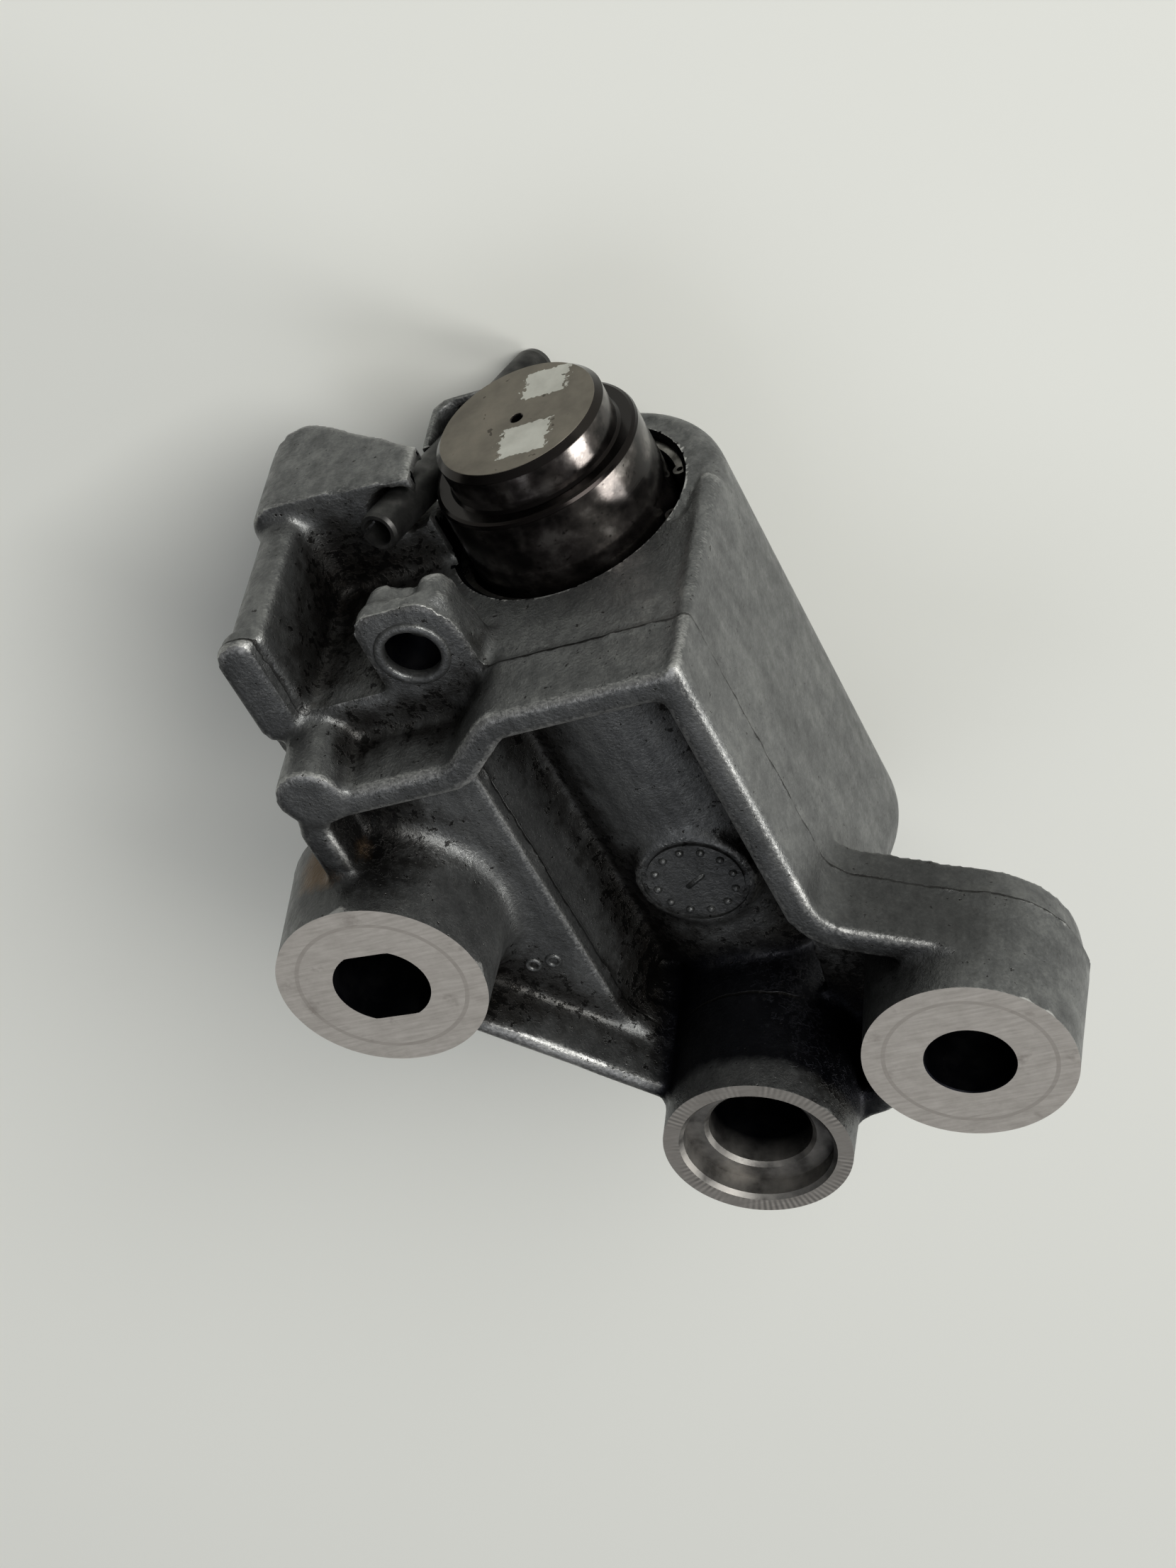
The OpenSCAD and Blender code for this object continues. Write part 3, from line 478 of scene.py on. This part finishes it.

# Drilled holes: walls turned bright by the tool, with painted shade that darkens them deeper down and in
# every hole apart from the port's recess, which a seal has kept clean.
SHADE_START_DEPTH, SHADE_FULL_DEPTH, PORT_REACH, TOOL_RINGS = -1.9 * MM, -4.5 * MM, 8.5 * MM, 6 * MM
drilled, tree, shader, place = finish_of("drilled_aluminium", 0.85)
# The dark specular tint dims reflections in the holes, a painted shade.
plug(tree, shader, {"Specular Tint": "#303032", "Specular IOR Level": 0.2})
oil_and_shade = add(tree, "ShaderNodeTexNoise", {"Vector": place, "Scale": 1 / (2.2 * MM), "Detail": 5.0, "Roughness": 0.6})
rings = add(tree, "ShaderNodeTexWave", {"Vector": place, "Scale": 1 / TOOL_RINGS, "Distortion": 0.6},
            bands_direction="Z").outputs["Fac"]
colour = add(tree, "ShaderNodeValToRGB", {"Fac": oil_and_shade},
             ((0.36, "#5d5b59"), (0.5, "#7b7976"), (0.66, "#8e8b87")))
height = add(tree, "ShaderNodeSeparateXYZ", {"Vector": place}).outputs["Z"]
deep = add(tree, "ShaderNodeMapRange", {"Value": height, "From Min": SHADE_START_DEPTH, "From Max": SHADE_FULL_DEPTH})
away = add(tree, "ShaderNodeVectorMath", {0: place, 1: port}, operation="DISTANCE")
other_hole = add(tree, "ShaderNodeMath", {0: away, 1: PORT_REACH}, operation="GREATER_THAN")
# Painted shade: the walls are painted near black deeper down and in every hole but the port's recess.
hole_shade = add(tree, "ShaderNodeMath", {0: deep, 1: other_hole}, operation="MAXIMUM")
colour = layer(tree, colour, "#0b0c10", oil_and_shade, ((0.4, 1.0), (0.6, 0.98)), hole_shade)[0]
dull = add(tree, "ShaderNodeValToRGB", {"Fac": oil_and_shade}, ((0.3, 0.38), (0.7, 0.48)))
dress(tree, shader, colour, dull, rings, 0.15, 0.03 * MM)

# Each face takes the finish of the tool that made it.
AS_CAST, BY_MILL, BY_DRILL, TOUCH = 0, 1, 2, 0.03 * MM
mesh.materials.clear()
for finish in (cast_skin, milled, drilled):
    mesh.materials.append(finish)
centres = read(mesh.polygons, "center")
facing = read(mesh.polygons, "normal")
made_by = np.full(len(centres), AS_CAST, np.int32)
for start, end, radius, far_radius in drills:
    way = np.array((end - start).normalized())
    length = (end - start).length
    run = (centres - np.array(start)) @ way
    away = np.linalg.norm(centres - np.array(start) - run[:, None] * way, axis=1)
    wall = radius + (0.0 if far_radius is None else far_radius - radius) * run / length
    within = (run > -TOUCH) & (run < length + TOUCH)
    made_by[within & ((abs(away - wall) < TOUCH) | ((abs(run) < TOUCH) & (away < wall)))] = BY_DRILL
in_slot = (centres[:, :2] - np.array(slot)[:2]) @ np.array(Matrix.Rotation(SLOT_TURN, 2))
made_by[(np.hypot(in_slot[:, 0], in_slot[:, 1]) < SLOT_LONG + TOUCH)
        & (abs(in_slot[:, 1]) < SLOT_FLATS + TOUCH)] = BY_DRILL
top_face = (centres[:, 2] > -TOUCH) & (facing[:, 2] > 0.9)
made_by[top_face] = BY_MILL
mesh.polygons.foreach_set("material_index", made_by)
mesh.polygons.foreach_set("use_smooth", ~top_face)
mesh.set_sharp_from_angle(angle=math.radians(38))
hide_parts("housing")
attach(casting, "body")

# Date disc and mould marks
# A round insert in the mould leaves a ring of small dots and a plain bar on the pad, a lip stands
# round the ear's hole, and two blisters of trapped gas stand on the floor, all one with the casting.
DOT_RING, DOT_RADIUS, DOTS = 3.1 * MM, 0.33 * MM, 12
dots = bpy.data.node_groups.new("date_dots", "GeometryNodeTree")
dots.interface.new_socket("Geometry", in_out="OUTPUT", socket_type="NodeSocketGeometry")
for label in ("Ring radius", "Dot radius"):
    dots.interface.new_socket(label, in_out="INPUT", socket_type="NodeSocketFloat")
sizes = add(dots, "NodeGroupInput")
circle = add(dots, "GeometryNodeMeshCircle", {"Vertices": DOTS, "Radius": sizes.outputs["Ring radius"]})
ball = add(dots, "GeometryNodeMeshIcoSphere", {"Radius": sizes.outputs["Dot radius"], "Subdivisions": 3})
many = add(dots, "GeometryNodeInstanceOnPoints", {"Points": circle, "Instance": ball})
moved = add(dots, "GeometryNodeTransform", {"Geometry": many, "Translation": PAD})
real = add(dots, "GeometryNodeRealizeInstances", {"Geometry": moved})
coated = add(dots, "GeometryNodeSetMaterial", {"Geometry": real, "Material": cast_skin})
add(dots, "NodeGroupOutput", {"Geometry": coated})
date_dots = piece_of("date_dots", bmesh.new())
maker = date_dots.modifiers.new("date dots", "NODES")
maker.node_group = dots
for item in dots.interface.items_tree:
    if item.in_out == "INPUT":
        maker[item.identifier] = {"Ring radius": DOT_RING, "Dot radius": DOT_RADIUS}[item.name]
settle(date_dots)

BAR, BAR_TURN, BAR_ROUND = Vector((1.0, 0.22, 0.16)) * MM, 0.5, 0.1 * MM
BLISTERS = (Vector((-31.67, 11.13, -8.02)) * MM, Vector((-29.98, 11.13, -8.02)) * MM)
BLISTER_RADIUS, BLISTER_ROLL, BLISTER_STEPS = 0.5 * MM, 0.2 * MM, 12
LIP_WIDTH, LIP_HEIGHT, LIP_ROUND, LIP_ROOT = 0.7 * MM, 0.25 * MM, 0.12 * MM, -0.6 * MM
marks = bmesh.new()
bmesh.ops.create_cube(marks, size=2.0, matrix=Matrix.Translation(PAD) @ Matrix.Rotation(BAR_TURN, 4, "Z")
                      @ Matrix.Diagonal((*BAR, 1)))
bmesh.ops.bevel(marks, geom=marks.edges[:], offset=BAR_ROUND, segments=3, affect="EDGES")
roll = [(BLISTER_RADIUS + BLISTER_ROLL * math.cos(a), BLISTER_ROLL * math.sin(a))
        for a in np.linspace(0, 2 * math.pi, BLISTER_STEPS, endpoint=False)]
for blister in BLISTERS:
    lathe(marks, roll, Matrix.Translation(blister), 32)
lip_in, lip_out = EAR_RADIUS - OVERLAP, EAR_RADIUS + LIP_WIDTH
lathe(marks, [(lip_in, LIP_ROOT), (lip_out, LIP_ROOT), (lip_out, LIP_HEIGHT - LIP_ROUND),
              (lip_out - LIP_ROUND, LIP_HEIGHT), (EAR_RADIUS + LIP_ROUND, LIP_HEIGHT),
              (lip_in, LIP_HEIGHT - LIP_ROUND)], Matrix.Translation(ear), 96)
mould_marks = piece_of("mould_marks", marks)
mould_marks.data.materials.append(cast_skin)
for piece in (date_dots, mould_marks):
    piece.data.shade_smooth()
    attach(piece, "body")

# Check valve, snap ring and springs
# At the bottom of the bore a pressed steel cage holds a ball on its seat, and the plunger's spring
# stands on it. A wire ring sits in the mouth. All are hardened or drawn steel and wet with oil.
oiled_steel, tree, shader, place = finish_of("oiled_spring_steel", 1.0)
film = add(tree, "ShaderNodeTexNoise", {"Vector": place, "Scale": 1 / (1.5 * MM), "Detail": 4.0, "Roughness": 0.6})
colour = add(tree, "ShaderNodeValToRGB", {"Fac": film}, ((0.35, "#3a3835"), (0.65, "#807e7a")))
dull = add(tree, "ShaderNodeValToRGB", {"Fac": film}, ((0.3, 0.42), (0.7, 0.24)))
dress(tree, shader, colour, dull, film, 0.1, 0.03 * MM)
for name in ("valve_seat", "valve_cage", "check_ball", "snap_ring"):
    inner = frame["nodes"][name].data
    inner.materials.clear()
    inner.materials.append(oiled_steel)
for name, joint, fixed_end, keep in (("plunger_spring", "plunger_slide", 0, 0.7),
                                     ("valve_spring", "ball_lift", 1, 0.6)):
    coil = bpy.data.objects.new(f"{name}_wire", frame["nodes"][name].data.copy())
    bpy.context.scene.collection.objects.link(coil)
    coil.data.materials.clear()
    coil.data.materials.append(oiled_steel)
    coil.data.shade_smooth()
    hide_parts(name)
    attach(coil, "body")
    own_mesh(coil)

# Plunger
# The plunger is turned and ground from steel, with a narrower head and a bleed hole in its flat end.
# An oil film darkens it, and the chain guide has worn two bright patches on the end.
HEAD_RADIUS, FACE_RADIUS, BLEED_RADIUS, HOLLOW_RADIUS = 6.6 * MM, 6.1 * MM, 0.45 * MM, 5.8 * MM
HEAD, END = 3.2 * MM, 7.3 * MM
SKIRT_CHAMFER, SHOULDER_OUT, SHOULDER_IN = 0.5 * MM, 0.35 * MM, 0.12 * MM
NECK_FILLET, BLEED_EDGE = 0.2 * MM, 0.1 * MM
LENGTH = plunger_high.y - plunger_low.y
shoulder, hollow_end = LENGTH - HEAD, LENGTH - END
turned = bmesh.new()
lathe(turned, [(HOLLOW_RADIUS, 0.0), (PLUNGER_RADIUS - SKIRT_CHAMFER, 0.0), (PLUNGER_RADIUS, SKIRT_CHAMFER),
               (PLUNGER_RADIUS, shoulder - SHOULDER_OUT), (PLUNGER_RADIUS - SHOULDER_IN, shoulder - SHOULDER_IN),
               (PLUNGER_RADIUS - SHOULDER_OUT, shoulder), (HEAD_RADIUS + NECK_FILLET, shoulder),
               (HEAD_RADIUS, shoulder + NECK_FILLET), (HEAD_RADIUS, LENGTH - HEAD_RADIUS + FACE_RADIUS),
               (FACE_RADIUS, LENGTH), (BLEED_RADIUS + BLEED_EDGE, LENGTH), (BLEED_RADIUS, LENGTH - BLEED_EDGE),
               (BLEED_RADIUS, hollow_end), (HOLLOW_RADIUS, hollow_end)],
      Matrix.Translation(along_axis(plunger_low.y)) @ Matrix.Rotation(-math.pi / 2, 4, "X"))
plunger = piece_of("ground_plunger", turned)
plunger.data.shade_smooth()
plunger.data.set_sharp_from_angle(angle=math.radians(25))

# Ground steel: a dark, uneven film of burnt oil that shines, painted shade as dark bands on the head's chamfer
# and shoulder, and a browned end with pits. The patches lie at a place in mm from the end's middle, with half
# sizes.
SHADED_BANDS = ((-0.55, -0.04, "#2f2c2a"), (-3.6, -3.0, "#1f1c1b"))
WORN_PATCHES = (((1.05, 1.85), (2.8, 1.7)), ((1.8, 1.7), (-3.5, 1.55)))
RAGGED_ACROSS, RAGGED_ALONG, FACE_SKIN = 2.4 * MM, 0.7 * MM, 0.03 * MM
ground_steel, tree, shader, place = finish_of("ground_steel", 0.95)
from_end = add(tree, "ShaderNodeVectorMath", {0: place, 1: along_axis(plunger_high.y)}, operation="SUBTRACT")
split = add(tree, "ShaderNodeSeparateXYZ", {"Vector": from_end})
wheel = add(tree, "ShaderNodeMapping", {"Vector": place, "Scale": (0.05, 2.0, 0.05)})
film, fine, ground, spots, pits = [
    add(tree, "ShaderNodeTexNoise", {"Vector": where, "Scale": 1 / (size * MM), "Detail": detail,
                                     "Roughness": harsh})
    for where, size, detail, harsh in (
        (place, 3.2, 6.0, 0.6), (place, 0.4, 3.0, 0.6), (wheel, 0.3, 2.0, 0.6), (place, 0.7, 5.0, 0.75),
        (place, 0.8, 2.0, 0.6))]
colour = add(tree, "ShaderNodeValToRGB", {"Fac": film},
             ((0.40, "#2b2928"), (0.52, "#4b4745"), (0.62, "#74706d")))
colour = layer(tree, colour, "#1d1a19", spots, ((0.6, 0.0), (0.64, 0.8)))[0]
# Painted shade: the head's chamfer and shoulder step are painted as dark bands.
for first, last, tone in SHADED_BANDS:
    after = add(tree, "ShaderNodeMath", {0: split.outputs["Y"], 1: first * MM}, operation="GREATER_THAN")
    before = add(tree, "ShaderNodeMath", {0: split.outputs["Y"], 1: last * MM}, operation="LESS_THAN")
    band = add(tree, "ShaderNodeMath", {0: after, 1: before}, operation="MULTIPLY")
    colour = add(tree, "ShaderNodeMix", {"Factor": band, "A": colour, "B": tone}, data_type="RGBA")
brown = add(tree, "ShaderNodeValToRGB", {"Fac": film},
            ((0.34, "#605b53"), (0.5, "#6f6a61"), (0.66, "#7d776d")))
brown = layer(tree, brown, "#3a342e", pits, ((0.7, 0.0), (0.74, 0.8)))[0]
ragged = add(tree, "ShaderNodeMath", {0: fine, 1: 0.5}, operation="SUBTRACT")
for across, along in WORN_PATCHES:
    patch = 1.0
    for way, (middle, half), teeth in (("X", across, RAGGED_ACROSS), ("Z", along, RAGGED_ALONG)):
        away = add(tree, "ShaderNodeMath", {0: split.outputs[way], 1: middle * MM}, operation="SUBTRACT")
        away = add(tree, "ShaderNodeMath", {0: away}, operation="ABSOLUTE")
        away = add(tree, "ShaderNodeMath", {0: ragged, 1: teeth, 2: away}, operation="MULTIPLY_ADD")
        side = add(tree, "ShaderNodeMath", {0: away, 1: half * MM}, operation="LESS_THAN")
        patch = add(tree, "ShaderNodeMath", {0: side, 1: patch}, operation="MULTIPLY")
    brown = layer(tree, brown, "#c6c6c0", film, ((0.4, 0.75), (0.6, 1.0)), patch)[0]
end_face = add(tree, "ShaderNodeMath", {0: split.outputs["Y"], 1: -FACE_SKIN}, operation="GREATER_THAN")
colour = add(tree, "ShaderNodeMix", {"Factor": end_face, "A": colour, "B": brown}, data_type="RGBA")
dull = add(tree, "ShaderNodeValToRGB", {"Fac": film}, ((0.3, 0.12), (0.7, 0.26)))
dull = add(tree, "ShaderNodeMath", {0: end_face, 1: 0.22, 2: dull}, operation="MULTIPLY_ADD")
relief = add(tree, "ShaderNodeMath", {0: fine, 1: ground}, operation="ADD")
dress(tree, shader, colour, dull, relief, 0.1, 0.02 * MM)
plunger.data.materials.append(ground_steel)
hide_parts("plunger")
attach(plunger, "plunger")

# Spring pin
# A strip of spring steel is rolled to a slit tube and pressed into the collar beside the plunger.
# It is dull dark grey, with an uneven film of oil.
rolled_steel, tree, shader, place = finish_of("rolled_spring_steel", 0.8)
film = add(tree, "ShaderNodeTexNoise", {"Vector": place, "Scale": 1 / (1.6 * MM), "Detail": 5.0, "Roughness": 0.6})
colour = add(tree, "ShaderNodeValToRGB", {"Fac": film},
             ((0.33, "#262626"), (0.52, "#383837"), (0.7, "#4d4c4b")))
dull = add(tree, "ShaderNodeValToRGB", {"Fac": film}, ((0.3, 0.5), (0.7, 0.36)))
dress(tree, shader, colour, dull, film, 0.12, 0.05 * MM)
pin = frame["nodes"]["spring_pin"].data
pin.materials.clear()
pin.materials.append(rolled_steel)

# Floor, light and camera
# A plain pale table under a soft window lamp, a low lamp at the side that lights the plunger's flank
# and a weak ceiling lamp, in a room that is darker on the left, seen from the photograph's angle.
TABLE_HALF, TABLE_GAP = 4.0, 0.02 * MM
lowest = min(vertex.co.z for node in frame["nodes"].values() for vertex in node.data.vertices)
top = bmesh.new()
bmesh.ops.create_grid(top, x_segments=1, y_segments=1, size=TABLE_HALF,
                      matrix=Matrix.Translation(up(lowest - TABLE_GAP)))
table = piece_of("table", top)
pale, tree, shader, _ = finish_of("pale_table", 0.0)
plug(tree, shader, {"Base Color": "#e0e1dc", "Roughness": 0.9, "Specular IOR Level": 0.1})
table.data.materials.append(pale)

for name, place, size, power, tint in (("window", (0.88, 0.60, 0.74), 0.75, 18.0, "#fffefa"),
                                       ("side", (1.94, -1.37, 0.44), 0.92, 38.4, "#fffefa"),
                                       ("ceiling", (-0.2, -0.2, 1.4), 0.8, 2.2, "#f6f8ff")):
    light = bpy.data.lights.new(name, "AREA")
    light.size = size
    light.energy = power
    light.color = srgb(tint)[:3]
    lamp = bpy.data.objects.new(name, light)
    lamp.location = place
    lamp.rotation_euler = (along_axis(BARREL_END / 2) - lamp.location).to_track_quat("-Z", "Y").to_euler()
    bpy.context.scene.collection.objects.link(lamp)

BRIGHT_SIDE, ROOM_LIGHT = Vector((0.75, 0.2, 0.6)).normalized(), 0.4
world = bpy.data.worlds.new("room")
bpy.context.scene.world = world
world.use_nodes = True
tree = world.node_tree
way = add(tree, "ShaderNodeTexCoord").outputs["Generated"]
towards = add(tree, "ShaderNodeVectorMath", {0: way, 1: BRIGHT_SIDE}, operation="DOT_PRODUCT")
towards = add(tree, "ShaderNodeMath", {0: towards, 1: 0.5, 2: 0.5}, operation="MULTIPLY_ADD")
room = add(tree, "ShaderNodeValToRGB", {"Fac": towards}, ((0.3, "#3c3e40"), (0.8, "#c9cbcc")))
plug(tree, tree.nodes["Background"], {"Color": room, "Strength": ROOM_LIGHT})

CAMERA = Vector((72.26, 173.89, 166.0)) * MM
RIGHT, UP, BACK = (0.9027, -0.4094, -0.1324), (0.2114, 0.6899, -0.6923), (0.3748, 0.597, 0.7093)
FOCAL_PIXELS, LONG_SIDE = 4800, 2212
camera = bpy.data.objects.new("camera", bpy.data.cameras.new("camera"))
camera.matrix_world = Matrix.Translation(CAMERA) @ Matrix((RIGHT, UP, BACK)).transposed().to_4x4()
camera.data.lens = FOCAL_PIXELS / LONG_SIDE * camera.data.sensor_width
camera.data.clip_start = 0.01
bpy.context.scene.collection.objects.link(camera)
bpy.context.scene.camera = camera
bpy.context.scene.view_settings.view_transform = "Standard"
